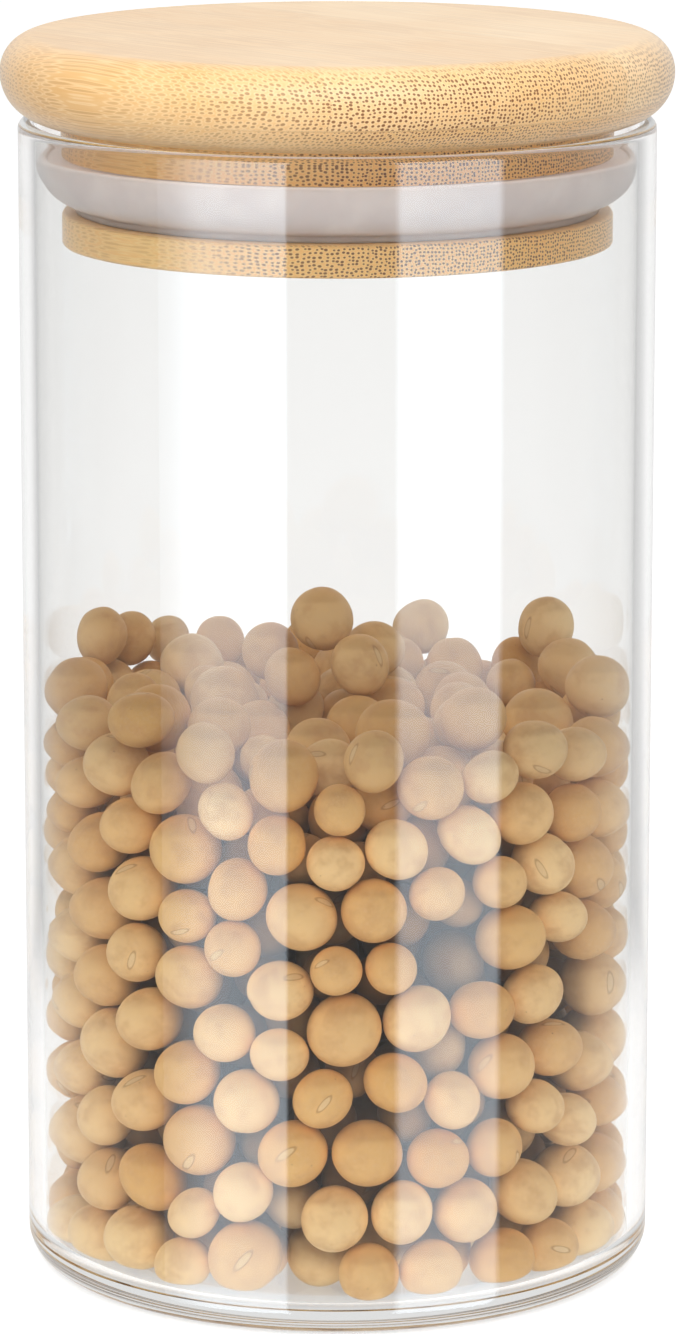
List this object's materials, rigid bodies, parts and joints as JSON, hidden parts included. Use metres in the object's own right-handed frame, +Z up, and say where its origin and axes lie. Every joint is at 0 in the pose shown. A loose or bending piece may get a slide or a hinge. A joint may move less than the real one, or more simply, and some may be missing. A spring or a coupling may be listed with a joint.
{
  "type": "lidded glass canister",
  "caption": "Straight clear glass storage canister with a push-in bamboo lid, a silicone lip seal and a bulk fill of dry soybeans.",
  "frame": {"origin": "on the jar's axis, at the surface that its base ring stands on", "axes": "+Z up along the jar's axis, towards the lid; the object is a solid of revolution, so X and Y are free"},
  "size_m": [0.0896, 0.0896, 0.1675],
  "materials": {
    "clear_glass": "clear, polished",
    "bamboo_board": "fine sanded, satin",
    "bamboo_plug": "fine sanded, satin",
    "silicone": "translucent, satin",
    "soybeans": "dry, satin"
  },
  "bodies": {
    "jar": {"glass_jar": "clear_glass", "soybean_fill": "soybeans"},
    "seal": {"seal_ring": "silicone"},
    "lid": {"lid_disc": "bamboo_board", "lid_plug": "bamboo_plug"}
  },
  "joints": [
    {"name": "lid_lift", "type": "slide", "parent": "jar", "child": "seal", "axis": [0, 0, 1], "range_m": [0, 0.12]},
    {"name": "lid_twist", "type": "hinge", "parent": "seal", "child": "lid", "pos_m": [0, 0, 0.148], "axis": [0, 0, 1], "continuous": true}
  ]
}
